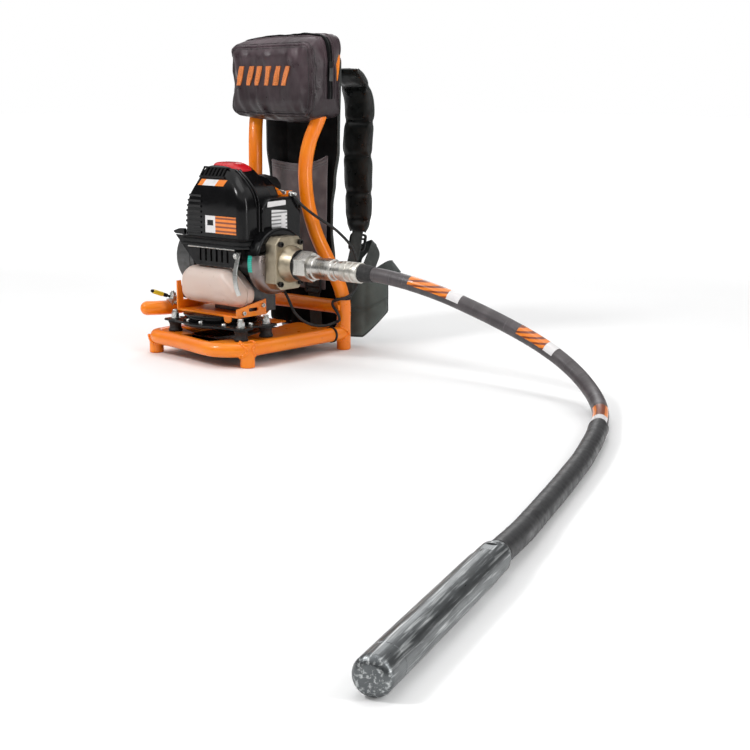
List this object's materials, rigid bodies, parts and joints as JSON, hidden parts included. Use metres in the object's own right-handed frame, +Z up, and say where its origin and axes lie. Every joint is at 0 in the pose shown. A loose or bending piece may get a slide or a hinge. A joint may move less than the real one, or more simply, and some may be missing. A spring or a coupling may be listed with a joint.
{
  "type": "backpack concrete vibrator",
  "caption": "Rucksack-frame concrete vibrator: a small petrol engine on an orange tube frame with harness and bag drives a steel poker head through a flexible shaft.",
  "frame": {"origin": "on the floor, under the middle of the machine's own box, without the free hose and the head", "axes": "+Z up, +X towards the engine's output, +Y towards the operator's back; the hose leaves along +X and comes round to -Y"},
  "size_m": [1.3242, 1.2191, 0.538],
  "materials": {
    "orange_frame": "gloss powder coat",
    "black_gloss": "polished",
    "black_matt": "satin",
    "black_sheet": "satin paint",
    "red_plastic": "polished",
    "rubber": "matt",
    "cast_alloy": "cast",
    "steel": "turned",
    "bright_steel": "polished",
    "head_steel": "ground",
    "tank_plastic": "translucent",
    "bag_nylon": "woven",
    "harness_nylon": "woven",
    "strap_quilt": "padded",
    "hose_cover": "cloth wrapped"
  },
  "bodies": {
    "root": {"post_right": "orange_frame", "post_left": "orange_frame", "base_loop": "orange_frame", "base_right_tube": "orange_frame", "side_arm": "orange_frame", "rear_cross_tube": "orange_frame", "top_cross_tube": "orange_frame", "front_foot_left": "orange_frame", "front_foot_right": "orange_frame", "gusset_front_left": "orange_frame", "gusset_front_right": "orange_frame", "gusset_rear_left": "orange_frame", "gusset_rear_right": "orange_frame", "isolator_front_left": "rubber", "isolator_rear_left": "rubber", "isolator_front_right": "rubber", "isolator_rear_right": "rubber", "isolator_plate": "black_sheet", "mounting_disc": "black_sheet", "cradle": "orange_frame", "shroud": "black_gloss", "front_guard": "black_matt", "top_cover": "red_plastic", "fan_cover": "black_gloss", "cylinder_block": "cast_alloy", "silencer": "steel", "spark_plug_cap": "rubber", "crankcase": "cast_alloy", "fuel_tank": "tank_plastic", "recoil_housing": "cast_alloy", "carburettor": "cast_alloy", "air_cleaner": "black_matt", "cable_bracket": "orange_frame", "bell_housing": "cast_alloy", "output_adaptor": "cast_alloy", "coupling_nut": "bright_steel", "coupling_sleeve": "bright_steel", "hose_ferrule": "bright_steel", "flexible_hose": "hose_cover", "head_collar": "head_steel", "head_tube": "head_steel", "head_nose": "head_steel", "throttle_clamp": "steel", "throttle_cable": "black_matt", "bag": "bag_nylon", "back_panel": "harness_nylon", "shoulder_strap_left": "strap_quilt", "hip_belt_left": "harness_nylon", "shoulder_strap_right": "strap_quilt", "hip_belt_right": "harness_nylon"},
    "crank_train": {"crankshaft": "steel", "clutch_shoes": "steel"},
    "clutch_output": {"clutch_drum": "steel"},
    "head_rotor": {"eccentric_rotor": "steel"},
    "recoil_grip": {"recoil_handle": "rubber"},
    "recoil_pulley": {"recoil_reel": "black_matt"},
    "throttle_arm": {"throttle_lever": "black_matt"},
    "carburettor_cam": {"throttle_cam": "steel"},
    "choke_arm": {"choke_lever": "black_matt"},
    "tank_cap": {"fuel_cap": "black_matt"}
  },
  "joints": [
    {"name": "crank_spin", "type": "hinge", "parent": "root", "child": "crank_train", "pos_m": [-0.0495, -0.05513, 0.163], "axis": [1, 0, 0], "continuous": true},
    {"name": "clutch_spin", "type": "hinge", "parent": "root", "child": "clutch_output", "pos_m": [0.0405, -0.05513, 0.163], "axis": [1, 0, 0], "continuous": true},
    {"name": "rotor_spin", "type": "hinge", "parent": "root", "child": "head_rotor", "pos_m": [0.999, -0.71713, 0.0178], "axis": [0.3452, -0.9385, 0], "continuous": true},
    {"name": "recoil_pull", "type": "slide", "parent": "root", "child": "recoil_grip", "axis": [-0.349, 0, 0.9371], "range_m": [0, 0.5], "stiffness_N_per_m": 12, "springref_m": -0.25},
    {"name": "recoil_reel_spin", "type": "hinge", "parent": "root", "child": "recoil_pulley", "pos_m": [-0.1375, -0.05513, 0.163], "axis": [1, 0, 0], "range_deg": [0, 1110]},
    {"name": "throttle_lever_turn", "type": "hinge", "parent": "root", "child": "throttle_arm", "pos_m": [-0.1615, -0.10213, 0.09], "axis": [0, 0, -1], "range_deg": [0, 32]},
    {"name": "throttle_cam_turn", "type": "hinge", "parent": "root", "child": "carburettor_cam", "pos_m": [-0.0225, 0.01287, 0.24], "axis": [1, 0, 0], "range_deg": [0, 70]},
    {"name": "choke_lever_turn", "type": "hinge", "parent": "root", "child": "choke_arm", "pos_m": [-0.0935, 0.03087, 0.251], "axis": [-1, 0, 0], "range_deg": [0, 75]},
    {"name": "fuel_cap_turn", "type": "hinge", "parent": "root", "child": "tank_cap", "pos_m": [-0.1295, -0.09513, 0.104], "axis": [-1, 0, 0], "range_deg": [0, 360]}
  ],
  "couplings": [
    {"joint": "clutch_spin", "follows": "crank_spin", "ratio": 1},
    {"joint": "rotor_spin", "follows": "crank_spin", "ratio": 1},
    {"joint": "recoil_reel_spin", "follows": "recoil_pull", "rad_per_m": 38.462},
    {"joint": "throttle_cam_turn", "follows": "throttle_lever_turn", "ratio": 2}
  ]
}
